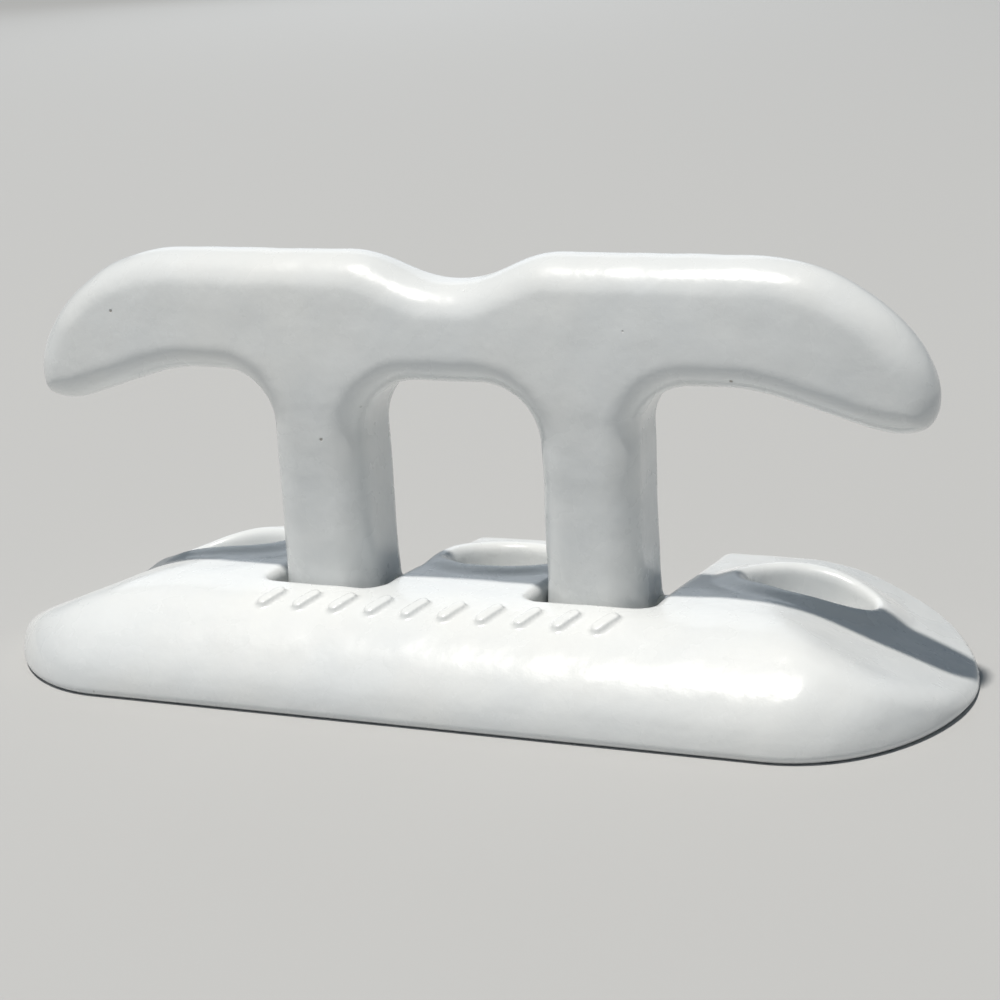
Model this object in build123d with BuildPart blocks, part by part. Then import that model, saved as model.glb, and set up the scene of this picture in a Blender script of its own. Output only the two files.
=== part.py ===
"""Flip-up dock cleat: a two-legged cast horn that hinges in a low cast base.

Millimetres.  +X runs along the cleat, +Y towards the side it folds to, +Z up.
The origin is the middle of the base's footprint, on the dock.
"""

import os
from math import asin, atan, cos, degrees, radians, sin, sqrt

from build123d import *

# ---------------------------------------------------------------- horn
HORN_LENGTH = 203.2
HORN_TOP = 91.4
HORN_DEPTH = 24.6
HORN_Y = -6.0
EDGE_RADIUS = 7.0
DIP_DEPTH = 6.2
DIP_HALF_WIDTH = 24.4
DIP_EASE = 0.45
SHOULDER_X = 64.0
SHOULDER_PULL = 23.6
TIP_Z = 63.7
TIP_PULL_UP = 9.6
TIP_PULL_DOWN = 6.0
TIP_BOTTOM = (94.4, 56.3)
TIP_BOTTOM_PULLS = (5.0, 7.0)
ARM_UNDERSIDE_Z = 65.2
ARM_UNDERSIDE_X = 60.6
ARM_UNDERSIDE_PULL = 10.0
GAP_TOP_Z = 64.3
ARM_CORNER_RADIUS = 11.0
GAP_CORNER_RADIUS = 12.5
TAPER_START_X = 45.0
TIP_DEPTH_RATIO = 0.64
LEG_INNER_X = 19.8
LEG_OUTER_X = 41.5

# ---------------------------------------------------------------- hinge
PIN_RADIUS = 4.0
PIN_HALF_LENGTH = 56.0
EYE_RADIUS = 9.0
BOSS_RADIUS = 7.0
DOCK_GAP = 0.6
PIVOT_Y = HORN_Y + HORN_DEPTH / 2 - EYE_RADIUS
PIVOT_Z = EYE_RADIUS + DOCK_GAP
EYE_FRONT_REACH = PIVOT_Y - (HORN_Y - HORN_DEPTH / 2)
BUSH_RADIUS = 5.6
RUNNING_CLEARANCE = 0.05
WASHER_RADIUS = 6.4
WASHER_BORE = PIN_RADIUS + 0.35
THRUST_THICKNESS = 1.4
SPRING_THICKNESS = 0.5
SPRING_HEIGHT = 0.95
STACK_GAP = 0.05

# ---------------------------------------------------------------- base
BASE_LENGTH = 220.0
BASE_WIDTH = 95.0
END_LENGTH = 36.0
RIDGE_Z = 20.4
DOME_REACH = 31.0
DOME_SPARE = 0.6
DOME_LEVELS = (0, 0.3, 0.58, 0.78, 0.91, 0.995)
RIM_Z = 1.6
FOOT_TUCK = 1.2
TOP_FALL_DEG = 8.8
END_FLAT_X = 60.0
END_KNEE_X = 82.0
END_KNEE_Z = 15.6
END_TIP_Z = 3.8
POCKET_GAP = 0.5
SIDE_GAP = THRUST_THICKNESS + SPRING_HEIGHT + 2 * STACK_GAP
CHANNEL_INNER_X = LEG_INNER_X - SIDE_GAP
CHANNEL_OUTER_X = LEG_OUTER_X + SIDE_GAP
POCKET_CORNER_RADIUS = 3.5
CHANNEL_EDGE_RADIUS = 2.5

# ---------------------------------------------------------------- bolt cups
CUP_Y = 15.5
CUP_SPACING = 71.0
CUP_HALF_LENGTHS = {-1: 13.8, 0: 12.0, 1: 13.8}
CUP_HALF_WIDTH = 12.0
CUP_FLOOR_Z = 4.0
CUP_DEPTH = 11.0
CUP_RISE = 20.0
CUP_DRAFT = 1.5
LIP_WIDTH = 4.0
LIP_HEIGHT = 1.2
CUP_RIM_RADIUS = 1.2
BOLT_HOLE_RADIUS = 5.0

# ---------------------------------------------------------------- pin keepers
KEEPER_X = 51.0
KEEPER_LENGTH = 10.5
KEEPER_WIDTH = 27.0
KEEPER_THICKNESS = 3.0
KEEPER_CORNER = 1.5
KEEPER_FIT = 0.1
SCREW_OFFSET = 9.5
SCREW_RADIUS = 2.0
SCREW_HEAD_RADIUS = 3.6
SCREW_LENGTH = 10.0
SCREW_DRIVE = 2.2
SCREW_POINT = 0.5
PIN_CHAMFER = 0.8

# ---------------------------------------------------------------- rope-lay row and underside
ROPE_ROW_Y = -29.0
ROPE_ROW_PITCH = 8.4
ROPE_ROW_COUNT = 10
ROPE_LAY_LENGTH = 7.5
ROPE_LAY_WIDTH = 3.0
ROPE_LAY_LEAN = 30.0
ROPE_LAY_HEIGHT = 0.7
LIGHTENING_Y = -31.5
LIGHTENING_LENGTH = 36.0
LIGHTENING_WIDTH = 18.0
LIGHTENING_RIB = 6.0
LIGHTENING_CORNER = 4.0
LIGHTENING_DEPTH = 8.0

SIDES = {"left": -1, "right": 1}
os.makedirs("parts", exist_ok=True)


def save(builder, name):
    """Label a finished piece and write it as its own STEP file."""
    builder.part.label = name
    export_step(builder.part, f"parts/{name}.step")


# The horn: one outline for the beam and both legs, tapered towards its two tips.
arm_corner_x = LEG_OUTER_X + ARM_CORNER_RADIUS
gap_corner_x = LEG_INNER_X - GAP_CORNER_RADIUS
half_length = HORN_LENGTH / 2
half_depth = HORN_DEPTH / 2
tip_depth = half_depth * TIP_DEPTH_RATIO

with BuildPart() as horn_casting:
    with BuildSketch(Plane.XZ.offset(-HORN_Y)):
        with BuildLine():
            Bezier(
                (0, HORN_TOP - DIP_DEPTH),
                (DIP_EASE * DIP_HALF_WIDTH, HORN_TOP - DIP_DEPTH),
                ((1 - DIP_EASE) * DIP_HALF_WIDTH, HORN_TOP),
                (DIP_HALF_WIDTH, HORN_TOP),
            )
            Line((DIP_HALF_WIDTH, HORN_TOP), (SHOULDER_X, HORN_TOP))
            Bezier(
                (SHOULDER_X, HORN_TOP),
                (SHOULDER_X + SHOULDER_PULL, HORN_TOP),
                (half_length, TIP_Z + TIP_PULL_UP),
                (half_length, TIP_Z),
            )
            Bezier(
                (half_length, TIP_Z),
                (half_length, TIP_Z - TIP_PULL_DOWN),
                (TIP_BOTTOM[0] + TIP_BOTTOM_PULLS[0], TIP_BOTTOM[1]),
                TIP_BOTTOM,
            )
            Bezier(
                TIP_BOTTOM,
                (TIP_BOTTOM[0] - TIP_BOTTOM_PULLS[1], TIP_BOTTOM[1]),
                (ARM_UNDERSIDE_X + ARM_UNDERSIDE_PULL, ARM_UNDERSIDE_Z),
                (ARM_UNDERSIDE_X, ARM_UNDERSIDE_Z),
            )
            Line((ARM_UNDERSIDE_X, ARM_UNDERSIDE_Z), (arm_corner_x, ARM_UNDERSIDE_Z))
            TangentArc(
                (arm_corner_x, ARM_UNDERSIDE_Z),
                (LEG_OUTER_X, ARM_UNDERSIDE_Z - ARM_CORNER_RADIUS),
                tangent=(-1, 0),
            )
            Polyline(
                (LEG_OUTER_X, ARM_UNDERSIDE_Z - ARM_CORNER_RADIUS),
                (LEG_OUTER_X, DOCK_GAP),
                (LEG_INNER_X, DOCK_GAP),
                (LEG_INNER_X, GAP_TOP_Z - GAP_CORNER_RADIUS),
            )
            TangentArc(
                (LEG_INNER_X, GAP_TOP_Z - GAP_CORNER_RADIUS),
                (gap_corner_x, GAP_TOP_Z),
                tangent=(0, 1),
            )
            Line((gap_corner_x, GAP_TOP_Z), (0, GAP_TOP_Z))
            mirror(about=Plane.YZ)
        make_face()
    extrude(amount=half_depth, both=True)
    with BuildSketch(Plane((0, HORN_Y, 0))):
        with BuildLine():
            Line((0, half_depth), (TAPER_START_X, half_depth))
            TangentArc((TAPER_START_X, half_depth), (half_length, tip_depth), tangent=(1, 0))
            Line((half_length, tip_depth), (half_length, -tip_depth))
            TangentArc((TAPER_START_X, -half_depth), (half_length, -tip_depth), tangent=(1, 0))
            Line((TAPER_START_X, -half_depth), (0, -half_depth))
            mirror(about=Plane.YZ)
        make_face()
    extrude(amount=HORN_TOP + EDGE_RADIUS, mode=Mode.INTERSECT)
    seams = horn_casting.edges().filter_by(lambda e: abs(abs(e.center().X) - TAPER_START_X) < 0.1)
    seams = seams.filter_by(Axis.Z)
    face_edges = horn_casting.edges().filter_by(
        lambda e: abs(e.center().Y - HORN_Y) > tip_depth / 2 and e.center().Z > 2 * DOCK_GAP
    )
    fillet(face_edges - seams, EDGE_RADIUS)

    # Feet: rounded about the pin, so that they clear the dock and the pocket as the horn folds.
    toe_angle = degrees(asin(EYE_RADIUS / EYE_FRONT_REACH))
    toe_y = PIVOT_Y - EYE_FRONT_REACH * cos(radians(toe_angle))
    with BuildSketch(Plane.YZ):
        with BuildLine():
            CenterArc((PIVOT_Y, PIVOT_Z), EYE_FRONT_REACH, 180, toe_angle)
            Line((toe_y, DOCK_GAP), (PIVOT_Y, DOCK_GAP))
            CenterArc((PIVOT_Y, PIVOT_Z), EYE_RADIUS, 270, 90)
            Polyline(
                (PIVOT_Y + EYE_RADIUS, PIVOT_Z),
                (PIVOT_Y + EYE_RADIUS, HORN_TOP),
                (PIVOT_Y - EYE_FRONT_REACH, HORN_TOP),
                (PIVOT_Y - EYE_FRONT_REACH, PIVOT_Z),
            )
        make_face()
    extrude(amount=half_length, both=True, mode=Mode.INTERSECT)

    # Round bosses that the thrust washers bear on, and the bore for the bushes.
    for side in SIDES.values():
        with BuildSketch(Plane.YZ.offset(side * (LEG_INNER_X + LEG_OUTER_X) / 2)):
            with Locations((PIVOT_Y, PIVOT_Z)):
                Circle(BOSS_RADIUS)
        extrude(amount=(LEG_OUTER_X - LEG_INNER_X) / 2, both=True)
    with BuildSketch(Plane.YZ):
        with Locations((PIVOT_Y, PIVOT_Z)):
            Circle(BUSH_RADIUS)
    extrude(amount=LEG_OUTER_X + 1, both=True, mode=Mode.SUBTRACT)
save(horn_casting, "horn_casting")

# Hinge hardware: one rod through both legs, with a sleeve bush in each eye.
with BuildPart() as hinge_pin:
    with BuildSketch(Plane.YZ):
        with Locations((PIVOT_Y, PIVOT_Z)):
            Circle(PIN_RADIUS)
    extrude(amount=PIN_HALF_LENGTH, both=True)
    chamfer(hinge_pin.edges().filter_by(GeomType.CIRCLE), PIN_CHAMFER)
save(hinge_pin, "hinge_pin")


def ring(inner_x, outer_x, bore, radius):
    """A plain ring about the pin, from one distance along it to another."""
    with BuildPart(mode=Mode.PRIVATE) as part:
        with BuildSketch(Plane.YZ.offset(inner_x)):
            with Locations((PIVOT_Y, PIVOT_Z)):
                Circle(radius)
                Circle(bore, mode=Mode.SUBTRACT)
        extrude(amount=outer_x - inner_x)
    return part


def disc_spring(wide_x, narrow_x):
    """A coned spring washer about the pin, its wide rim at one x and its bore at the other."""
    skin = SPRING_THICKNESS * (1 if narrow_x > wide_x else -1)
    with BuildPart(mode=Mode.PRIVATE) as part:
        with BuildSketch(Plane((0, PIVOT_Y, PIVOT_Z), x_dir=(1, 0, 0), z_dir=(0, -1, 0))):
            with BuildLine():
                Polyline(
                    (wide_x, WASHER_RADIUS),
                    (wide_x + skin, WASHER_RADIUS),
                    (narrow_x, WASHER_BORE),
                    (narrow_x - skin, WASHER_BORE),
                    close=True,
                )
            make_face()
        revolve(axis=Axis((0, PIVOT_Y, PIVOT_Z), (1, 0, 0)))
    return part


for side_name, side in SIDES.items():
    inner_x, outer_x = side * LEG_INNER_X, side * LEG_OUTER_X
    leg_bush = ring(inner_x, outer_x, PIN_RADIUS + RUNNING_CLEARANCE, BUSH_RADIUS)
    save(leg_bush, f"leg_bush_{side_name}")
    for face_name, leg_x, away in (("inner", inner_x, -side), ("outer", outer_x, side)):
        washer_x = leg_x + away * STACK_GAP
        thrust_washer = ring(washer_x, washer_x + away * THRUST_THICKNESS, WASHER_BORE, WASHER_RADIUS)
        save(thrust_washer, f"thrust_washer_{side_name}_{face_name}")
        spring_x = washer_x + away * (THRUST_THICKNESS + STACK_GAP)
        save(disc_spring(spring_x, spring_x + away * SPRING_HEIGHT), f"disc_spring_{side_name}_{face_name}")

# The base: a low dome that falls away to the fold side and to both ends.
straight_half = BASE_LENGTH / 2 - END_LENGTH
pocket_front_y = HORN_Y - HORN_DEPTH / 2 - POCKET_GAP
dome_height = RIDGE_Z + DOME_SPARE - RIM_Z
channel_width = CHANNEL_OUTER_X - CHANNEL_INNER_X
channel_mid_x = (CHANNEL_INNER_X + CHANNEL_OUTER_X) / 2
fall = radians(TOP_FALL_DEG)


def dome_inset(z):
    """How far the base's outline has drawn in at height z."""
    if z <= RIM_Z:
        return FOOT_TUCK * (1 - z / RIM_Z) ** 2
    return DOME_REACH * (1 - sqrt(1 - ((z - RIM_Z) / dome_height) ** 2))


def is_cup_rim(point):
    """Whether a point above the cup floors lies on the wall of a bolt cup."""
    for place, cup_half_length in CUP_HALF_LENGTHS.items():
        grow = (point.Z - CUP_FLOOR_Z) / CUP_DEPTH * CUP_DRAFT - CUP_DRAFT
        along = (point.X - place * CUP_SPACING) / (cup_half_length + grow)
        across = (point.Y - CUP_Y) / (CUP_HALF_WIDTH + grow)
        if abs(along**2 + across**2 - 1) < 0.02:
            return True
    return False


with BuildPart() as base_casting:
    for z in (0, RIM_Z / 2, *(RIM_Z + share * dome_height for share in DOME_LEVELS)):
        inset = dome_inset(z)
        with BuildSketch(Plane.XY.offset(z)):
            Rectangle(2 * straight_half, BASE_WIDTH - 2 * inset)
            with Locations((-straight_half, 0), (straight_half, 0)):
                Ellipse(END_LENGTH - inset, BASE_WIDTH / 2 - inset)
    loft()

    # Top: flat over the legs then down to both ends, carried back along its fall to the fold side.
    with BuildSketch(Plane.XZ.offset(-pocket_front_y)):
        with BuildLine():
            Line((0, RIDGE_Z), (END_FLAT_X, RIDGE_Z))
            TangentArc((END_FLAT_X, RIDGE_Z), (END_KNEE_X, END_KNEE_Z), tangent=(1, 0))
            Polyline(
                (END_KNEE_X, END_KNEE_Z),
                (BASE_LENGTH / 2, END_TIP_Z),
                (BASE_LENGTH / 2, -RIDGE_Z),
                (0, -RIDGE_Z),
            )
            mirror(about=Plane.YZ)
        make_face()
    extrude(amount=BASE_WIDTH, dir=(0, cos(fall), -sin(fall)), both=True, mode=Mode.INTERSECT)

    # Channels the legs stand in and fold back along, their top edges rounded over.
    with BuildSketch():
        for side in SIDES.values():
            with Locations((side * channel_mid_x, pocket_front_y + BASE_WIDTH / 2)):
                RectangleRounded(channel_width, BASE_WIDTH, POCKET_CORNER_RADIUS)
    extrude(amount=2 * RIDGE_Z, mode=Mode.SUBTRACT)
    channel_edges = base_casting.edges().filter_by(
        lambda e: CHANNEL_INNER_X - 0.1 < abs(e.center().X) < CHANNEL_OUTER_X + 0.1 and e.center().Z > RIM_Z
    )
    top_edges = channel_edges.filter_by(lambda e: abs(e.tangent_at(0.5).Z) < 0.5)
    fillet(top_edges, CHANNEL_EDGE_RADIUS)

# Raised work on the base's skin: lips round the bolt cups, and a rope-lay row along the front.
with BuildPart() as lip_columns:
    for place, cup_half_length in CUP_HALF_LENGTHS.items():
        with BuildSketch(Plane((place * CUP_SPACING, CUP_Y, 0))):
            Ellipse(cup_half_length + LIP_WIDTH, CUP_HALF_WIDTH + LIP_WIDTH)
    extrude(amount=2 * RIDGE_Z)

with BuildPart() as rope_columns:
    with BuildSketch(Plane((0, ROPE_ROW_Y, 0))):
        with GridLocations(ROPE_ROW_PITCH, 0, ROPE_ROW_COUNT, 1):
            SlotOverall(ROPE_LAY_LENGTH, ROPE_LAY_WIDTH, rotation=90 - ROPE_LAY_LEAN)
    extrude(amount=2 * RIDGE_Z)

dome = base_casting.part
lips = (Pos(0, 0, LIP_HEIGHT) * dome) & lip_columns.part
rope_row = (Pos(0, 0, ROPE_LAY_HEIGHT) * dome) & rope_columns.part

with base_casting:
    add(lips)
    add(rope_row)

    # Bolt cups with a through hole in each floor.
    for place, cup_half_length in CUP_HALF_LENGTHS.items():
        with BuildSketch(Plane((place * CUP_SPACING, CUP_Y, CUP_FLOOR_Z))):
            Ellipse(cup_half_length - CUP_DRAFT, CUP_HALF_WIDTH - CUP_DRAFT)
        extrude(amount=CUP_RISE, taper=-degrees(atan(CUP_DRAFT / CUP_DEPTH)), mode=Mode.SUBTRACT)
        with Locations((place * CUP_SPACING, CUP_Y, CUP_FLOOR_Z)):
            Hole(BOLT_HOLE_RADIUS)
    raised_edges = base_casting.edges().filter_by(lambda e: e.center().Z > CUP_FLOOR_Z + 1)
    cup_rims = raised_edges.filter_by(lambda e: all(is_cup_rim(e.position_at(t)) for t in (0, 0.5)))
    fillet(cup_rims, CUP_RIM_RADIUS)

    # Cradle for the pin, open to the underside, and the keepers' recesses and screw holes.
    with BuildSketch(Plane.YZ):
        with Locations((PIVOT_Y, PIVOT_Z)):
            Circle(PIN_RADIUS + RUNNING_CLEARANCE)
        with Locations((PIVOT_Y, PIVOT_Z / 2)):
            Rectangle(2 * (PIN_RADIUS + RUNNING_CLEARANCE), PIVOT_Z)
    extrude(amount=PIN_HALF_LENGTH + POCKET_GAP, both=True, mode=Mode.SUBTRACT)
    with BuildSketch(Plane((0, PIVOT_Y, 0))):
        with GridLocations(2 * KEEPER_X, 0, 2, 1):
            Rectangle(KEEPER_LENGTH + 2 * KEEPER_FIT, KEEPER_WIDTH + 2 * KEEPER_FIT)
    extrude(amount=KEEPER_THICKNESS, mode=Mode.SUBTRACT)
    with BuildSketch(Plane((0, PIVOT_Y, 0))):
        with GridLocations(2 * KEEPER_X, 2 * SCREW_OFFSET, 2, 2):
            Circle(SCREW_RADIUS)
    extrude(amount=SCREW_LENGTH + POCKET_GAP, mode=Mode.SUBTRACT)

    # Lightening pockets under the front of the dome.
    with BuildSketch(Plane((0, LIGHTENING_Y, 0))):
        with GridLocations(LIGHTENING_LENGTH + LIGHTENING_RIB, 0, 4, 1):
            RectangleRounded(LIGHTENING_LENGTH, LIGHTENING_WIDTH, LIGHTENING_CORNER)
    extrude(amount=LIGHTENING_DEPTH, mode=Mode.SUBTRACT)
save(base_casting, "base_casting")

# Keepers that close the cradle under the pin, and their countersunk screws.
for side_name, side in SIDES.items():
    with BuildPart() as pin_keeper:
        with BuildSketch(Plane((side * KEEPER_X, PIVOT_Y, 0))):
            RectangleRounded(KEEPER_LENGTH, KEEPER_WIDTH, KEEPER_CORNER)
        extrude(amount=KEEPER_THICKNESS)
        with BuildSketch(Plane((side * KEEPER_X, PIVOT_Y, KEEPER_THICKNESS))):
            Rectangle(KEEPER_LENGTH, 2 * (PIN_RADIUS - KEEPER_FIT))
        extrude(amount=PIVOT_Z - PIN_RADIUS - KEEPER_THICKNESS)
        keeper_face = Plane((side * KEEPER_X, PIVOT_Y, 0), z_dir=(0, 0, -1))
        with Locations(keeper_face):
            with GridLocations(0, 2 * SCREW_OFFSET, 1, 2):
                CounterSinkHole(SCREW_RADIUS, SCREW_HEAD_RADIUS, counter_sink_angle=90)
    save(pin_keeper, f"pin_keeper_{side_name}")

with BuildPart() as keeper_screws:
    with BuildSketch(Plane((0, PIVOT_Y, 0))):
        with GridLocations(2 * KEEPER_X, 2 * SCREW_OFFSET, 2, 2):
            Circle(SCREW_HEAD_RADIUS)
    extrude(amount=SCREW_HEAD_RADIUS - SCREW_RADIUS, taper=45)
    with BuildSketch(Plane((0, PIVOT_Y, 0))):
        with GridLocations(2 * KEEPER_X, 2 * SCREW_OFFSET, 2, 2):
            Circle(SCREW_RADIUS)
    extrude(amount=SCREW_LENGTH)
    with BuildSketch(Plane((0, PIVOT_Y, 0))):
        with GridLocations(2 * KEEPER_X, 2 * SCREW_OFFSET, 2, 2):
            RegularPolygon(SCREW_DRIVE / 2, 6)
    extrude(amount=SCREW_RADIUS, mode=Mode.SUBTRACT)
    chamfer(keeper_screws.faces().sort_by(Axis.Z).group_by(Axis.Z)[-1].edges(), SCREW_POINT)
save(keeper_screws, "keeper_screws")
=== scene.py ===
"""Looks for the flip-up dock cleat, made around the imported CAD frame.

Blender works in metres.  The shapes below are worked out in millimetres, as the design is,
and become metres where a mesh is made.
"""

import copy
import math

import bmesh
import bpy
import numpy as np
from mathutils import Matrix, Vector


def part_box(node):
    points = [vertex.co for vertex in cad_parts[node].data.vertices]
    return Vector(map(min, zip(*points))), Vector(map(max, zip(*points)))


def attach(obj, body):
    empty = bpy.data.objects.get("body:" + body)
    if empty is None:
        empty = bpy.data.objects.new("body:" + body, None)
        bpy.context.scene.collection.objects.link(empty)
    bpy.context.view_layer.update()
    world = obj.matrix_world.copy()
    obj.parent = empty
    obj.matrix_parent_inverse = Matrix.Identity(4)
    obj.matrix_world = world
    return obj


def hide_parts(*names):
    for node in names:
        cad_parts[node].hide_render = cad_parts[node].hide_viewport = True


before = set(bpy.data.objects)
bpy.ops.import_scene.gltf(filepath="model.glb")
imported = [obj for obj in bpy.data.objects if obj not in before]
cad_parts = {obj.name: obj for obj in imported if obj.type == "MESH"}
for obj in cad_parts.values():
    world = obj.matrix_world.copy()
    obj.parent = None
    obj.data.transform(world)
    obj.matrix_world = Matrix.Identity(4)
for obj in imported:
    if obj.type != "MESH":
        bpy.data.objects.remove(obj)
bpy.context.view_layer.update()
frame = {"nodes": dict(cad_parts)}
nodes = frame["nodes"]
MM = 0.001

# ------------------------------------------------------------------ sizes read from the frame
horn_low, horn_high = (np.array(corner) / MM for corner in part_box("horn_casting"))
base_low, base_high = (np.array(corner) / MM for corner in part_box("base_casting"))
pin_low, pin_high = (np.array(corner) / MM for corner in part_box("hinge_pin"))
bush_low, bush_high = (np.array(corner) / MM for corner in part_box("leg_bush_right"))

HALF_LENGTH = horn_high[0]
HORN_TOP = horn_high[2]
HORN_Y = (horn_low[1] + horn_high[1]) / 2
HALF_DEPTH = (horn_high[1] - horn_low[1]) / 2
DOCK_GAP = horn_low[2]
PIVOT_Y = (pin_low[1] + pin_high[1]) / 2
PIVOT_Z = (pin_low[2] + pin_high[2]) / 2
PIN_RADIUS = (pin_high[2] - pin_low[2]) / 2
PIN_END = pin_high[0]
BUSH_RADIUS = (bush_high[2] - bush_low[2]) / 2
LEG_INNER_X, LEG_OUTER_X = bush_low[0], bush_high[0]

# ------------------------------------------------------------------ the design's other sizes, mm
EDGE_RADIUS = 7.0
DIP_DEPTH = 6.2
DIP_HALF_WIDTH = 24.4
DIP_EASE = 0.45
SHOULDER_X = 64.0
SHOULDER_PULL = 23.6
TIP_Z = 63.7
TIP_PULL_UP = 9.6
TIP_PULL_DOWN = 6.0
TIP_BOTTOM = (94.4, 56.3)
TIP_BOTTOM_PULLS = (5.0, 7.0)
ARM_UNDERSIDE_Z = 65.2
ARM_UNDERSIDE_X = 60.6
ARM_UNDERSIDE_PULL = 10.0
GAP_TOP_Z = 64.3
ARM_CORNER_RADIUS = 11.0
GAP_CORNER_RADIUS = 12.5
TAPER_START_X = 45.0
TIP_DEPTH_RATIO = 0.64
BOSS_RADIUS = 7.0
BOSS_EDGE = 0.5
BOSS_BLEND = 1.0
FOOT_EDGE = 1.5

BASE_HALF_LENGTH = 110.0
BASE_HALF_WIDTH = 47.5
END_LENGTH = 36.0
RIDGE_Z = 20.4
CREST_SPARE = 0.5
CREST_BLEND = 3.0
RIM_Z = 1.6
RIM_EDGE = 0.5
DOME_REACH = 31.0
DOME_SPARE = 0.6
DOME_RISE = RIDGE_Z + DOME_SPARE - RIM_Z
FOOT_TUCK = 1.2
TOP_FALL = math.radians(8.8)
END_FLAT_X = 60.0
END_KNEE_X = 82.0
END_KNEE_Z = 15.6
END_TIP_Z = 3.8
POCKET_GAP = 0.5
SIDE_GAP = 2.45
POCKET_CORNER_RADIUS = 3.5
POCKET_FRONT_Y = HORN_Y - HALF_DEPTH - POCKET_GAP

CUP_Y = 15.5
CUP_SPACING = 71.0
CUPS = ((-1, 13.8), (0, 12.0), (1, 13.8))
CUP_HALF_WIDTH = 12.0
CUP_FLOOR_Z = 4.0
CUP_DEPTH = 11.0
CUP_DRAFT = 1.5
LIP_WIDTH = 6.5
LIP_HEIGHT = 1.3
LIP_EASE = 5.0
BOLT_HOLE_RADIUS = 5.0
BOLT_HOLE_EDGE = 0.6
CUP_FLOOR_RADIUS = 2.0
OPENING_BLEND = 3.2

ROPE_ROW_Y = -29.0
ROPE_ROW_PITCH = 8.4
ROPE_ROW_COUNT = 10
ROPE_LAY_LENGTH = 7.5
ROPE_LAY_WIDTH = 3.0
ROPE_LAY_LEAN = math.radians(30.0)
ROPE_LAY_HEIGHT = 1.0
ROPE_LAY_EDGE = 0.7
ROPE_LAY_ROOT = 0.5

KEEPER_X = 51.0
KEEPER_SIZE = (10.7, 27.2)
KEEPER_THICKNESS = 3.0
SCREW_OFFSET = 9.5
SCREW_RADIUS = 2.0
SCREW_HOLE_DEPTH = 10.5
LIGHTENING_Y = -31.5
LIGHTENING_SIZE = (36.0, 18.0)
LIGHTENING_RIB = 6.0
LIGHTENING_CORNER = 4.0
LIGHTENING_DEPTH = 8.0
LIGHTENING_ROOF_EDGE = 2.0
RUNNING_CLEARANCE = 0.05
PIN_END_PLAY = 0.5

# ------------------------------------------------------------------ casting surfaces and grids, mm
HORN_STEP = 0.8
BASE_STEP = 0.6
GRID_MARGIN = 2.05  # in grid steps
HORN_TRUE_BELOW = 17.0
BASE_TRUE_BELOW = 0.5
LUMP_DEPTH = 0.5
LUMP_FADE = 5.0
LUMP_LENGTHS = (34, 27, 21, 17, 13, 11, 9, 8)
LUMP_POWER = 0.7
CROWN_DEPTH = 1.0
CROWN_REACH = 11.0
CROWN_BOTTOM_Z = 60.0
FACE_LEAN = 3.9
FACE_LEAN_POWER = 1.35
CROWN_SOFTENING = 2.5


# ------------------------------------------------------------------ solid fields: negative inside
def smooth_max(a, b, width):
    """The larger of two fields, rounded over where they cross."""
    h = np.clip(0.5 + 0.5 * (a - b) / width, 0, 1)
    return b + (a - b) * h + width * h * (1 - h)


def smooth_min(a, b, width):
    """The smaller of two fields, filleted where they cross."""
    return -smooth_max(-a, -b, width)


def rounded_extrusion(profile, side, radius):
    """A profile field carried along a side field, its long edges rounded."""
    u = profile + radius
    v = side + radius
    return np.hypot(np.maximum(u, 0), np.maximum(v, 0)) + np.minimum(np.maximum(u, v), 0) - radius


def rectangle(x, y, half_x, half_y, corner=0.0):
    """Distance to a rectangle about the origin with rounded corners."""
    u, v = np.abs(x) - half_x, np.abs(y) - half_y
    return rounded_extrusion(u, v, corner) if corner else np.maximum(u, v)


def ellipse(x, y, half_x, half_y):
    """Near-distance to an ellipse about the origin."""
    u, v = x / half_x, y / half_y
    level = np.sqrt(u * u + v * v) + 1e-9
    return (level - 1) * level / (np.sqrt((u / half_x) ** 2 + (v / half_y) ** 2) + 1e-9)


def bezier(p0, p1, p2, p3, count=40):
    """Points along a cubic curve, without its last point."""
    t = np.linspace(0, 1, count, endpoint=False)[:, None]
    p0, p1, p2, p3 = (np.array(p, float) for p in (p0, p1, p2, p3))
    return p0 * (1 - t) ** 3 + 3 * p1 * t * (1 - t) ** 2 + 3 * p2 * t * t * (1 - t) + p3 * t**3


def quarter_turn(centre, start, end, count=24):
    """Points along a quarter circle from start to end about a centre, without its last point."""
    t = np.linspace(0, math.pi / 2, count, endpoint=False)[:, None]
    centre, start, end = (np.array(p, float) for p in (centre, start, end))
    return centre + (start - centre) * np.cos(t) + (end - centre) * np.sin(t)


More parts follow.
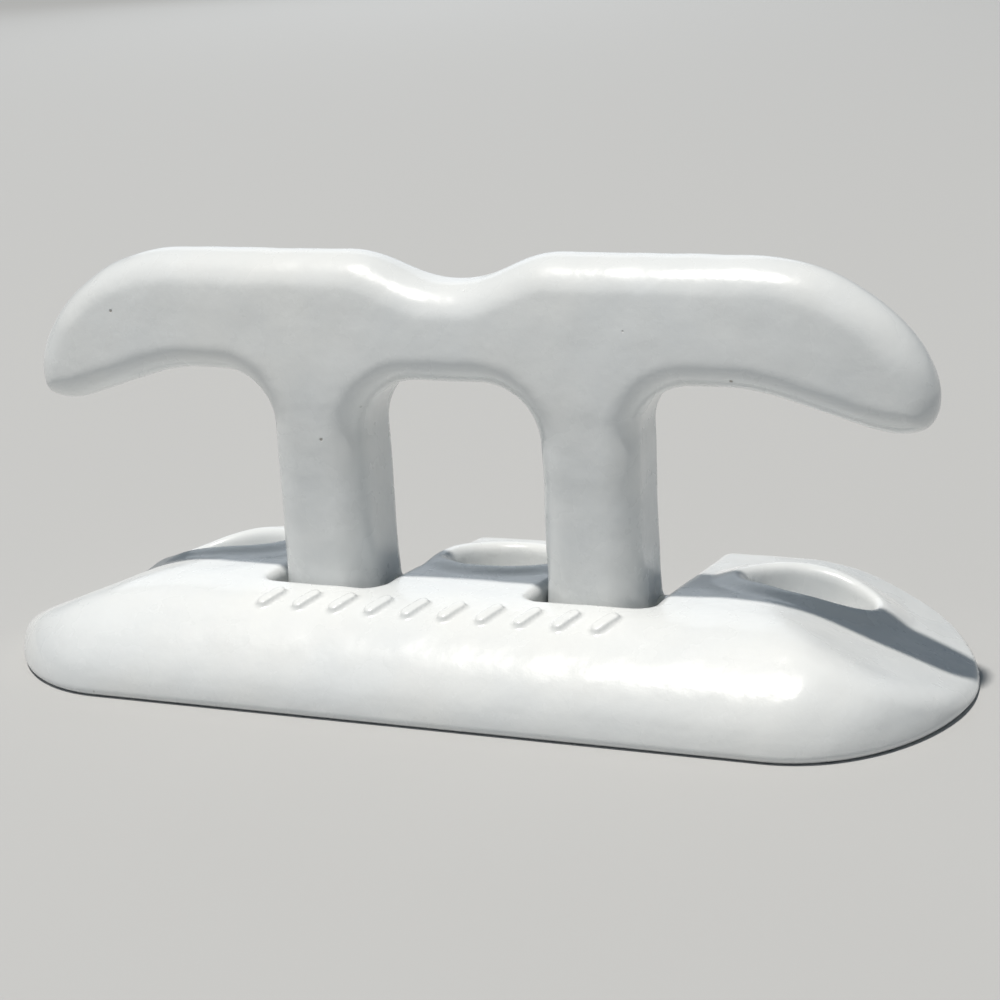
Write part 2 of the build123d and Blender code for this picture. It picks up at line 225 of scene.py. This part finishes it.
def horn_outline():
    """The horn's front outline, anticlockwise from the middle of the dip, in x and z."""
    arm_x = LEG_OUTER_X + ARM_CORNER_RADIUS
    arm_z = ARM_UNDERSIDE_Z - ARM_CORNER_RADIUS
    gap_x = LEG_INNER_X - GAP_CORNER_RADIUS
    gap_z = GAP_TOP_Z - GAP_CORNER_RADIUS
    foot_z = DOCK_GAP - EDGE_RADIUS
    half = np.concatenate([
        bezier(
            (0, HORN_TOP - DIP_DEPTH),
            (DIP_EASE * DIP_HALF_WIDTH, HORN_TOP - DIP_DEPTH),
            ((1 - DIP_EASE) * DIP_HALF_WIDTH, HORN_TOP),
            (DIP_HALF_WIDTH, HORN_TOP),
        ),
        [(DIP_HALF_WIDTH, HORN_TOP)],
        bezier(
            (SHOULDER_X, HORN_TOP),
            (SHOULDER_X + SHOULDER_PULL, HORN_TOP),
            (HALF_LENGTH, TIP_Z + TIP_PULL_UP),
            (HALF_LENGTH, TIP_Z),
        ),
        bezier(
            (HALF_LENGTH, TIP_Z),
            (HALF_LENGTH, TIP_Z - TIP_PULL_DOWN),
            (TIP_BOTTOM[0] + TIP_BOTTOM_PULLS[0], TIP_BOTTOM[1]),
            TIP_BOTTOM,
        ),
        bezier(
            TIP_BOTTOM,
            (TIP_BOTTOM[0] - TIP_BOTTOM_PULLS[1], TIP_BOTTOM[1]),
            (ARM_UNDERSIDE_X + ARM_UNDERSIDE_PULL, ARM_UNDERSIDE_Z),
            (ARM_UNDERSIDE_X, ARM_UNDERSIDE_Z),
        ),
        [(ARM_UNDERSIDE_X, ARM_UNDERSIDE_Z)],
        quarter_turn((arm_x, arm_z), (arm_x, ARM_UNDERSIDE_Z), (LEG_OUTER_X, arm_z)),
        [(LEG_OUTER_X, arm_z), (LEG_OUTER_X, foot_z), (LEG_INNER_X, foot_z)],
        quarter_turn((gap_x, gap_z), (LEG_INNER_X, gap_z), (gap_x, GAP_TOP_Z)),
        [(gap_x, GAP_TOP_Z)],
    ])
    mirrored = half[::-1] * (-1, 1)
    return np.concatenate([half, mirrored[:-1]])


class OutlineMap:
    """Signed distance to a closed outline, kept on a fine grid and read between its points."""

    def __init__(self, points, step=0.5, margin=6.0):
        self.step = step
        self.low = points.min(0) - margin
        count = np.ceil((points.max(0) + margin - self.low) / step).astype(int) + 1
        gx, gz = np.meshgrid(*(self.low[i] + step * np.arange(count[i]) for i in (0, 1)), indexing="ij")
        near = np.full(gx.shape, np.inf)
        crossings = np.zeros(gx.shape, int)
        for a, b in zip(points, np.roll(points, -1, axis=0)):
            ab = b - a
            t = np.clip(((gx - a[0]) * ab[0] + (gz - a[1]) * ab[1]) / (ab @ ab + 1e-12), 0, 1)
            near = np.minimum(near, (gx - a[0] - t * ab[0]) ** 2 + (gz - a[1] - t * ab[1]) ** 2)
            if a[1] != b[1]:
                spans = (gz >= min(a[1], b[1])) & (gz < max(a[1], b[1]))
                crossings += spans & (gx < a[0] + (gz - a[1]) * ab[0] / (b[1] - a[1]))
        self.values = np.sqrt(near) * np.where(crossings % 2, -1, 1)

    def softened(self, reach):
        """A copy of the map averaged over a square of the given reach, so that its ridges are rounded."""
        soft = copy.copy(self)
        cells = round(reach / self.step)
        for axis in (0, 1):
            for _ in range(2):
                rows = np.pad(soft.values, [(cells, cells) if n == axis else (0, 0) for n in (0, 1)], "edge")
                total = np.cumsum(np.insert(rows, 0, 0, axis), axis)
                size = soft.values.shape[axis]
                upper = np.take(total, np.arange(size) + 2 * cells + 1, axis)
                soft.values = (upper - np.take(total, np.arange(size), axis)) / (2 * cells + 1)
        return soft

    def __call__(self, x, z):
        u = np.clip((x - self.low[0]) / self.step, 0, self.values.shape[0] - 1.001)
        v = np.clip((z - self.low[1]) / self.step, 0, self.values.shape[1] - 1.001)
        i, j = u.astype(int), v.astype(int)
        u, v = u - i, v - j
        f = self.values
        lower = f[i, j] * (1 - u) + f[i + 1, j] * u
        upper = f[i, j + 1] * (1 - u) + f[i + 1, j + 1] * u
        return lower * (1 - v) + upper * v


outline_map = OutlineMap(horn_outline())
soft_outline_map = outline_map.softened(CROWN_SOFTENING)


def foot_field(y, z):
    """The feet's side view: rounded about the pin below it, and unbounded above it."""
    reach = PIVOT_Y - (HORN_Y - HALF_DEPTH)
    radius = PIVOT_Z - DOCK_GAP
    from_pin = np.hypot(y - PIVOT_Y, z - PIVOT_Z)
    swing = np.where(y > PIVOT_Y, from_pin - radius, from_pin - reach)
    return np.where(z < PIVOT_Z, smooth_max(swing, DOCK_GAP - z, FOOT_EDGE), -HALF_LENGTH)


def horn_field(x, y, z):
    """The horn casting."""
    ratio = np.clip((np.abs(x) - TAPER_START_X) / (HALF_LENGTH - TAPER_START_X), 0, 1)
    depth = HALF_DEPTH * (1 - (1 - TIP_DEPTH_RATIO) * ratio**2)
    rise = np.clip((z - CROWN_BOTTOM_Z) / (HORN_TOP - CROWN_BOTTOM_Z), 0, 1)
    crown = CROWN_DEPTH * np.clip(1 + soft_outline_map(x, z) / CROWN_REACH, 0, 1) ** 2
    crown = (FACE_LEAN * rise**FACE_LEAN_POWER + crown * rise * rise * (3 - 2 * rise)) * depth / HALF_DEPTH
    body = rounded_extrusion(outline_map(x, z), np.abs(y - HORN_Y) - depth + crown, EDGE_RADIUS)
    body = np.maximum(body, foot_field(y, z))
    from_pin = np.hypot(y - PIVOT_Y, z - PIVOT_Z)
    middle, half = (LEG_INNER_X + LEG_OUTER_X) / 2, (LEG_OUTER_X - LEG_INNER_X) / 2
    boss = rounded_extrusion(from_pin - BOSS_RADIUS, np.abs(np.abs(x) - middle) - half, BOSS_EDGE)
    return np.maximum(smooth_min(body, boss, BOSS_BLEND), BUSH_RADIUS - from_pin)


def long_profile(x):
    """Height of the base's ridge along its length, and the cosine of its slope."""
    run, drop = END_KNEE_X - END_FLAT_X, RIDGE_Z - END_KNEE_Z
    radius = (run**2 + drop**2) / (2 * drop)
    on_arc = np.clip(np.abs(x) - END_FLAT_X, 0, run)
    beyond = np.maximum(np.abs(x) - END_KNEE_X, 0)
    end_slope = (END_KNEE_Z - END_TIP_Z) / (BASE_HALF_LENGTH - END_KNEE_X)
    height = RIDGE_Z - (radius - np.sqrt(radius**2 - on_arc**2)) - beyond * end_slope
    return height, np.sqrt(1 - (on_arc / radius) ** 2)


def base_skin(x, y, z):
    """The base's outer skin: a dome cut by the top plane and by the long profile."""
    straight = BASE_HALF_LENGTH - END_LENGTH
    beyond = np.maximum(np.abs(x) - straight, 0)
    plan = ellipse(beyond, y, END_LENGTH, BASE_HALF_WIDTH)
    plan = np.where(beyond > 0, plan, np.abs(y) - BASE_HALF_WIDTH)
    plan = plan + FOOT_TUCK * np.clip(1 - z / RIM_Z, 0, 1) ** 2
    u = np.maximum((DOME_REACH + plan) / DOME_REACH, 0)
    w = np.maximum(z - RIM_Z, 0) / DOME_RISE
    level = np.hypot(u, w) + 1e-9
    dome = (level - 1) * level / (np.hypot(u / DOME_REACH, w / DOME_RISE) + 1e-9)
    height, cosine = long_profile(x)
    fallen = (y - POCKET_FRONT_Y) * math.tan(TOP_FALL)
    top = (z - height - CREST_SPARE + fallen) * cosine * math.cos(TOP_FALL)
    return smooth_max(dome, top, CREST_BLEND)


def base_field(x, y, z):
    """The base casting."""
    skin = base_skin(x, y, z)
    body = skin
    for place, half_length in CUPS:
        cx, cy = x - place * CUP_SPACING, y - CUP_Y
        lip = ellipse(cx, cy, half_length + LIP_WIDTH, CUP_HALF_WIDTH + LIP_WIDTH)
        body = smooth_min(body, smooth_max(skin - LIP_HEIGHT, lip, LIP_EASE), LIP_EASE / 2)

    # Rope-lay row: short slanted beads, raised from the front of the dome.
    first = -(ROPE_ROW_COUNT - 1) / 2 * ROPE_ROW_PITCH
    nearest = np.clip(np.round((x - first) / ROPE_ROW_PITCH), 0, ROPE_ROW_COUNT - 1)
    bx, by = x - first - nearest * ROPE_ROW_PITCH, y - ROPE_ROW_Y
    along = bx * math.sin(ROPE_LAY_LEAN) + by * math.cos(ROPE_LAY_LEAN)
    across = bx * math.cos(ROPE_LAY_LEAN) - by * math.sin(ROPE_LAY_LEAN)
    half_run = (ROPE_LAY_LENGTH - ROPE_LAY_WIDTH) / 2
    bead = np.hypot(np.maximum(np.abs(along) - half_run, 0), across) - ROPE_LAY_WIDTH / 2
    body = smooth_min(body, smooth_max(skin - ROPE_LAY_HEIGHT, bead, ROPE_LAY_EDGE), ROPE_LAY_ROOT)

    # Leg channels, open to the fold side.
    middle = (LEG_INNER_X + LEG_OUTER_X) / 2
    half_width = (LEG_OUTER_X - LEG_INNER_X) / 2 + SIDE_GAP
    length = 2 * BASE_HALF_WIDTH
    channel = rectangle(
        np.abs(x) - middle, y - POCKET_FRONT_Y - length / 2, half_width, length / 2, POCKET_CORNER_RADIUS
    )
    body = smooth_max(body, -channel, OPENING_BLEND)

    # Bolt cups and their holes.
    for place, half_length in CUPS:
        cx, cy = x - place * CUP_SPACING, y - CUP_Y
        grow = (z - CUP_FLOOR_Z) / CUP_DEPTH * CUP_DRAFT - CUP_DRAFT
        wall = ellipse(cx, cy, half_length, CUP_HALF_WIDTH) - grow
        cup = rounded_extrusion(wall, CUP_FLOOR_Z - z, CUP_FLOOR_RADIUS)
        body = smooth_max(body, -cup, OPENING_BLEND)
        body = smooth_max(body, BOLT_HOLE_RADIUS - np.hypot(cx, cy), BOLT_HOLE_EDGE)

    return np.maximum(smooth_max(body, -z, RIM_EDGE), -underside_field(x, y, z))


def underside_field(x, y, z):
    """Hollows in the underside: the pin's cradle, the keepers' recesses and the lightening pockets."""
    radius = PIN_RADIUS + RUNNING_CLEARANCE
    cradle = np.where(z > PIVOT_Z, np.hypot(y - PIVOT_Y, z - PIVOT_Z), np.abs(y - PIVOT_Y)) - radius
    hollow = np.maximum(cradle, np.abs(x) - (PIN_END + PIN_END_PLAY))
    recess = rectangle(np.abs(x) - KEEPER_X, y - PIVOT_Y, KEEPER_SIZE[0] / 2, KEEPER_SIZE[1] / 2)
    hollow = np.minimum(hollow, np.maximum(recess, z - KEEPER_THICKNESS))
    from_screw = np.hypot(np.abs(x) - KEEPER_X, np.abs(y - PIVOT_Y) - SCREW_OFFSET)
    hollow = np.minimum(hollow, np.maximum(from_screw - SCREW_RADIUS, z - SCREW_HOLE_DEPTH))
    pitch = LIGHTENING_SIZE[0] + LIGHTENING_RIB
    column = x - pitch * (np.clip(np.round(x / pitch - 0.5), -2, 1) + 0.5)
    half_length, half_width = LIGHTENING_SIZE[0] / 2, LIGHTENING_SIZE[1] / 2
    pocket = rectangle(column, y - LIGHTENING_Y, half_length, half_width, LIGHTENING_CORNER)
    return np.minimum(hollow, smooth_max(pocket, z - LIGHTENING_DEPTH, LIGHTENING_ROOF_EDGE))


# ------------------------------------------------------------------ meshes from fields
def surface_net(field, low, high, step):
    """Vertices and quads of a field's zero surface, one vertex in each grid cell it crosses."""
    axes = [np.arange(a, b + step, step) for a, b in zip(low, high)]
    grid = np.meshgrid(*axes, indexing="ij")
    values = field(*grid)
    shape = np.array(values.shape)
    total = np.zeros((*(shape - 1), 3))
    hits = np.zeros(shape - 1)
    crossings = []
    for axis in range(3):
        first = [slice(None)] * 3
        second = [slice(None)] * 3
        first[axis], second[axis] = slice(None, -1), slice(1, None)
        a, b = values[tuple(first)], values[tuple(second)]
        cut = (a < 0) != (b < 0)
        index = np.argwhere(cut)
        t = (a[cut] / (a[cut] - b[cut]))[:, None]
        point = index * step + np.array(low)
        point = point + t * step * np.eye(3)[axis]
        others = [n for n in range(3) if n != axis]
        for du in (0, 1):
            for dv in (0, 1):
                cell = index.copy()
                cell[:, others[0]] -= du
                cell[:, others[1]] -= dv
                ok = np.all((cell >= 0) & (cell < shape - 1), axis=1)
                np.add.at(total, tuple(cell[ok].T), point[ok])
                np.add.at(hits, tuple(cell[ok].T), 1)
        crossings.append((axis, others, index, a[cut] < 0))
    number = np.full(hits.shape, -1)
    used = hits > 0
    number[used] = np.arange(used.sum())
    vertices = total[used] / hits[used][:, None]
    quads = []
    for axis, others, index, starts_inside in crossings:
        ring = []
        for du, dv in ((0, 0), (1, 0), (1, 1), (0, 1)):
            cell = index.copy()
            cell[:, others[0]] -= du
            cell[:, others[1]] -= dv
            ring.append(number[tuple(cell.T)])
        quad = np.stack(ring, axis=1)
        outward = starts_inside if axis != 1 else ~starts_inside
        quad[~outward] = quad[~outward][:, ::-1]
        quads.append(quad)
    return vertices, np.concatenate(quads)


def relax(vertices, quads):
    """Each vertex's mean neighbour, for evening out the quads."""
    total = np.zeros_like(vertices)
    count = np.zeros(len(vertices))
    for k in range(4):
        a, b = quads[:, k], quads[:, (k + 1) % 4]
        np.add.at(total, a, vertices[b])
        np.add.at(total, b, vertices[a])
        np.add.at(count, a, 1)
        np.add.at(count, b, 1)
    return total / count[:, None]


def settle(field, vertices, quads, passes=4):
    """Evens out the quads, and moves each vertex back onto the field's zero surface."""
    eps, least_slope_squared, longest_step = 0.05, 0.05, 0.5
    for _ in range(passes):
        moved = vertices * 0.5 + relax(vertices, quads) * 0.5
        for _ in range(2):
            x, y, z = moved.T
            value = field(x, y, z)
            slope = np.stack([
                field(x + eps, y, z) - field(x - eps, y, z),
                field(x, y + eps, z) - field(x, y - eps, z),
                field(x, y, z + eps) - field(x, y, z - eps),
            ], axis=1) / (2 * eps)
            size = np.maximum((slope**2).sum(1), least_slope_squared)
            step = np.clip(value / size, -longest_step, longest_step)[:, None] * slope
            moved = moved - step
        vertices = moved
    return vertices


def cast_normals(field, vertices, eps=0.2):
    """Outward unit normals of a field at its surface."""
    x, y, z = vertices.T
    slope = np.stack([
        field(x + eps, y, z) - field(x - eps, y, z),
        field(x, y + eps, z) - field(x, y - eps, z),
        field(x, y, z + eps) - field(x, y, z - eps),
    ], axis=1)
    return slope / (np.linalg.norm(slope, axis=1)[:, None] + 1e-9)


def lumps(vertices):
    """How far a sand casting's skin lies inside its nominal shape: slow waves, 0 to LUMP_DEPTH."""
    random = np.random.default_rng(7)
    wave = np.zeros(len(vertices))
    for length in LUMP_LENGTHS:
        for _ in range(3):
            direction = random.normal(size=3)
            direction *= 2 * math.pi / length / np.linalg.norm(direction)
            wave += length**LUMP_POWER * np.sin(vertices @ direction + random.uniform(0, 2 * math.pi))
    wave /= np.abs(wave).max()
    return LUMP_DEPTH * (0.5 + 0.5 * wave)


def mesh_piece(name, vertices, quads):
    """A smooth-shaded mesh object from millimetre vertices."""
    mesh = bpy.data.meshes.new(name)
    mesh.from_pydata((vertices * MM).tolist(), [], quads.tolist())
    mesh.update()
    bm = bmesh.new()
    bm.from_mesh(mesh)
    bmesh.ops.recalc_face_normals(bm, faces=bm.faces)
    bm.to_mesh(mesh)
    bm.free()
    mesh.polygons.foreach_set("use_smooth", [True] * len(mesh.polygons))
    piece = bpy.data.objects.new(name, mesh)
    bpy.context.scene.collection.objects.link(piece)
    return piece


def casting(name, field, low, high, step, true_below):
    """A casting's mesh from its field, wavy only above its fitted faces, held in its CAD node's box."""
    margin = GRID_MARGIN * step
    vertices, quads = surface_net(field, low - margin, high + margin, step)
    vertices = settle(field, vertices, quads)
    depth = lumps(vertices) * np.clip((vertices[:, 2] - true_below) / LUMP_FADE, 0, 1)
    vertices = vertices - cast_normals(field, vertices) * depth[:, None]
    return mesh_piece(name, np.clip(vertices, low, high), quads)


# ------------------------------------------------------------------ materials
class Nodes:
    """A material being wired up, with its Principled shader and object coordinates."""

    def __init__(self, name):
        self.material = bpy.data.materials.new(name)
        self.material.use_nodes = True
        self.tree = self.material.node_tree
        self.shader = self.tree.nodes["Principled BSDF"]
        self.place = self.tree.nodes.new("ShaderNodeTexCoord").outputs["Object"]

    def set(self, **values):
        """Fixed values on the shader's own sockets."""
        for socket, value in values.items():
            self.shader.inputs[socket.replace("_", " ")].default_value = value

    def link(self, output, socket):
        self.tree.links.new(output, socket)
        return output

    def noise(self, scale, detail=3.0, stretch=(1, 1, 1), rough=0.5):
        """Noise over the piece; scale is in cycles a metre."""
        mapping = self.tree.nodes.new("ShaderNodeMapping")
        mapping.inputs["Scale"].default_value = stretch
        self.link(self.place, mapping.inputs["Vector"])
        node = self.tree.nodes.new("ShaderNodeTexNoise")
        node.inputs["Scale"].default_value = scale
        node.inputs["Detail"].default_value = detail
        node.inputs["Roughness"].default_value = rough
        self.link(mapping.outputs["Vector"], node.inputs["Vector"])
        return node.outputs["Fac"]

    def specks(self, scale, size):
        """Sparse round specks: 1 inside a speck, 0 elsewhere."""
        cells = self.tree.nodes.new("ShaderNodeTexVoronoi")
        cells.inputs["Scale"].default_value = scale
        self.link(self.place, cells.inputs["Vector"])
        near = self.span(cells.outputs["Distance"], size, 0.4 * size, 0, 1)
        chosen = self.span(self.noise(scale * 0.37, 0), 0.60, 0.64, 0, 1)
        return self.math("MULTIPLY", near, chosen)

    def span(self, source, low, high, to_low, to_high):
        """A value moved from one range to another, held inside it."""
        node = self.tree.nodes.new("ShaderNodeMapRange")
        for socket, value in zip(("From Min", "From Max", "To Min", "To Max"), (low, high, to_low, to_high)):
            node.inputs[socket].default_value = value
        self.link(source, node.inputs["Value"])
        return node.outputs["Result"]

    def math(self, operation, first, second):
        node = self.tree.nodes.new("ShaderNodeMath")
        node.operation = operation
        for socket, value in zip(node.inputs, (first, second)):
            if isinstance(value, (int, float)):
                socket.default_value = value
            else:
                self.link(value, socket)
        return node.outputs["Value"]

    def mix(self, fac, first, second):
        """One colour over another, by a mask."""
        node = self.tree.nodes.new("ShaderNodeMix")
        node.data_type = "RGBA"
        self.link(fac, node.inputs["Factor"])
        for socket, value in ((node.inputs[6], first), (node.inputs[7], second)):
            if isinstance(value, tuple):
                socket.default_value = (*value, 1)
            else:
                self.link(value, socket)
        return node.outputs[2]

    def bump(self, height, distance, under=None):
        """A bump of real height in metres, over any bump below it."""
        node = self.tree.nodes.new("ShaderNodeBump")
        node.inputs["Distance"].default_value = distance
        self.link(height, node.inputs["Height"])
        if under is not None:
            self.link(under, node.inputs["Normal"])
        return node.outputs["Normal"]

    def edges(self, low, high):
        """1 along convex edges and 0 elsewhere, or 1 in hollows if low is above high."""
        geometry = self.tree.nodes.new("ShaderNodeNewGeometry")
        return self.span(geometry.outputs["Pointiness"], low, high, 0, 1)

    def finish(self, colour, roughness, normal):
        self.link(colour, self.shader.inputs["Base Color"])
        self.link(roughness, self.shader.inputs["Roughness"])
        self.link(normal, self.shader.inputs["Normal"])
        return self.material


def white_coating():
    """Thick gloss white coating over a sand casting: waves, orange peel, pits, a little grime, and painted
    shade in its hollows.
    """
    nodes = Nodes("white_coating")
    nodes.set(Coat_Weight=0.35, Coat_Roughness=0.12, IOR=1.5)
    cloud = nodes.span(nodes.noise(38, 4), 0.35, 0.68, 0, 1)
    colour = nodes.mix(cloud, WHITE_COOL, WHITE_WARM)
    streaks = nodes.span(nodes.noise(60, 5, (1, 1, 0.25), 0.6), 0.58, 0.80, 0, 0.22)
    colour = nodes.mix(streaks, colour, GRIME_AND_SHADE)
    # Hollows take the grime colour: painted shade in the creases, with some real dirt.
    hollow = nodes.span(nodes.edges(0.47, 0.36), 0, 1, 0, 0.4)
    colour = nodes.mix(hollow, colour, GRIME_AND_SHADE)
    worn_patches = nodes.span(nodes.noise(420, 4), 0.50, 0.66, 0, 0.45)
    worn = nodes.math("MULTIPLY", nodes.edges(0.54, 0.60), worn_patches)
    colour = nodes.mix(worn, colour, WORN)
    pits = nodes.specks(150, 0.07)
    colour = nodes.mix(pits, colour, PIT)
    gloss = nodes.span(nodes.noise(95, 4), 0.3, 0.7, 0.21, 0.34)
    rough = nodes.math("ADD", gloss, nodes.span(worn, 0, 1, 0, 0.25))
    normal = nodes.bump(nodes.noise(110, 2), 0.00026)
    normal = nodes.bump(nodes.noise(520, 3), 0.00005, normal)
    normal = nodes.bump(nodes.math("SUBTRACT", 1, pits), 0.0002, normal)
    return nodes.finish(colour, rough, normal)


def metal(name, light, dark, rough, grain, stretch, depth):
    """Bare metal with a directional grain, dulled in patches, with a painted highlight along its edges."""
    nodes = Nodes(name)
    nodes.set(Metallic=1.0)
    patches = nodes.span(nodes.noise(140, 4), 0.35, 0.65, 0, 1)
    colour = nodes.mix(patches, dark, light)
    # A lighter colour on convex edges: painted edge highlight.
    colour = nodes.mix(nodes.edges(0.53, 0.60), colour, tuple(min(1.0, c * 1.25) for c in light))
    fine = nodes.noise(grain, 4, stretch, 0.65)
    sheen = nodes.span(fine, 0.3, 0.7, rough * 0.8, rough * 1.2)
    dulled = nodes.math("ADD", sheen, nodes.span(patches, 0, 1, 0.10, 0))
    return nodes.finish(colour, dulled, nodes.bump(fine, depth))


def turned_acetal():
    """Natural acetal with fine lathe rings and slight yellowing."""
    nodes = Nodes("acetal")
    nodes.set(IOR=1.48)
    patches = nodes.span(nodes.noise(260, 4), 0.35, 0.65, 0, 1)
    colour = nodes.mix(patches, ACETAL_DARK, ACETAL_LIGHT)
    rings = nodes.noise(700, 3, (1, 0.15, 0.15))
    rough = nodes.span(rings, 0.3, 0.7, 0.38, 0.52)
    return nodes.finish(colour, rough, nodes.bump(rings, 0.00005))


WHITE_COOL = (0.745, 0.765, 0.77)
WHITE_WARM = (0.775, 0.785, 0.775)
# Grime colour, also used as painted shade in the hollows.
GRIME_AND_SHADE = (0.68, 0.69, 0.67)
WORN = (0.66, 0.66, 0.64)
PIT = (0.30, 0.28, 0.25)
ACETAL_DARK = (0.70, 0.68, 0.61)
ACETAL_LIGHT = (0.80, 0.79, 0.74)
STEEL_LIGHT, STEEL_DARK = (0.66, 0.66, 0.65), (0.52, 0.53, 0.54)
SPRING_LIGHT, SPRING_DARK = (0.50, 0.50, 0.50), (0.36, 0.37, 0.39)
KEEPER_LIGHT, KEEPER_DARK = (0.66, 0.67, 0.68), (0.50, 0.51, 0.52)
FLOOR_COLOUR = (0.47, 0.47, 0.465, 1)
FLOOR_REACH = 20

looks = {
    "white_coating": white_coating(),
    "stainless": metal("stainless", STEEL_LIGHT, STEEL_DARK, 0.26, 900, (0.06, 1, 1), 0.00002),
    "spring_steel": metal("spring_steel", SPRING_LIGHT, SPRING_DARK, 0.32, 1200, (1, 1, 1), 0.00002),
    "keeper_metal": metal("keeper_metal", KEEPER_LIGHT, KEEPER_DARK, 0.42, 1500, (1, 1, 1), 0.00006),
    "acetal": turned_acetal(),
}

# ------------------------------------------------------------------ pieces
horn = casting("horn", horn_field, horn_low, horn_high, HORN_STEP, HORN_TRUE_BELOW)
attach(horn, "horn")
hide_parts("horn_casting")

base = casting("base", base_field, base_low, base_high, BASE_STEP, BASE_TRUE_BELOW)
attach(base, "base")
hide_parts("base_casting")

for piece in (horn, base):
    piece.data.materials.append(looks["white_coating"])

slots = {
    "hinge_pin": "stainless",
    "keeper_screws": "stainless",
    "pin_keeper": "keeper_metal",
    "disc_spring": "spring_steel",
    "leg_bush": "acetal",
    "thrust_washer": "acetal",
}
for prefix, slot_name in slots.items():
    for node_name, node in nodes.items():
        if node_name.startswith(prefix):
            node.data.materials.clear()
            node.data.materials.append(looks[slot_name])


# ------------------------------------------------------------------ stage, lights and camera
def add_camera():
    """The camera, from its angles about a point above the middle of the base."""
    azimuth, elevation, roll = (math.radians(a) for a in (21.90, 17.54, 3.44))
    distance, target_height = 0.4679, 0.036
    target = Vector((0, HORN_Y * MM, target_height))
    away = Vector((
        math.sin(azimuth) * math.cos(elevation),
        -math.cos(azimuth) * math.cos(elevation),
        math.sin(elevation),
    ))
    right = Vector((math.cos(azimuth), math.sin(azimuth), 0))
    up = away.cross(right)
    x_axis = right * math.cos(roll) - up * math.sin(roll)
    y_axis = right * math.sin(roll) + up * math.cos(roll)
    data = bpy.data.cameras.new("camera")
    data.lens = 77.47
    data.sensor_width = 36
    data.shift_x = 0.0325
    data.shift_y = 0.0014
    data.clip_start = 0.01
    camera = bpy.data.objects.new("camera", data)
    camera.matrix_world = Matrix.Translation(target + away * distance) @ Matrix(
        (x_axis, y_axis, away)
    ).transposed().to_4x4()
    bpy.context.scene.collection.objects.link(camera)
    bpy.context.scene.camera = camera


def add_floor():
    """A plain pale floor."""
    mesh = bpy.data.meshes.new("floor")
    corners = [(FLOOR_REACH * x, FLOOR_REACH * y, 0) for x, y in ((-1, -1), (1, -1), (1, 1), (-1, 1))]
    mesh.from_pydata(corners, [], [(0, 1, 2, 3)])
    floor = bpy.data.objects.new("floor", mesh)
    bpy.context.scene.collection.objects.link(floor)
    material = bpy.data.materials.new("floor")
    material.use_nodes = True
    shader = material.node_tree.nodes["Principled BSDF"]
    shader.inputs["Base Color"].default_value = FLOOR_COLOUR
    shader.inputs["Roughness"].default_value = 0.9
    floor.data.materials.append(material)


def area_light(name, place, aim, size, power, colour=(1, 1, 1)):
    data = bpy.data.lights.new(name, "AREA")
    data.shape = "DISK"
    data.size = size
    data.energy = power
    data.color = colour
    light = bpy.data.objects.new(name, data)
    light.location = place
    light.rotation_euler = (Vector(aim) - Vector(place)).to_track_quat("-Z", "Y").to_euler()
    bpy.context.scene.collection.objects.link(light)


def add_world():
    world = bpy.data.worlds.new("world")
    bpy.context.scene.world = world
    world.use_nodes = True
    sky = world.node_tree.nodes["Background"]
    sky.inputs["Color"].default_value = (0.66, 0.83, 1, 1)
    sky.inputs["Strength"].default_value = 0.17


add_camera()
add_floor()
add_world()
area_light("key", (-0.88, -1.2, 7.2), (0, 0, 0.03), 0.35, 585, (1, 0.965, 0.915))
area_light("fill", (-0.9, -1.2, 0.9), (0, 0, 0.04), 1.2, 1.5, (0.95, 0.98, 1))
area_light("sky_panel", (-0.7, 1.7, 0.75), (0, 0, 0.04), 1.4, 3.5, (0.9, 0.95, 1))
bpy.context.scene.view_settings.view_transform = "Standard"
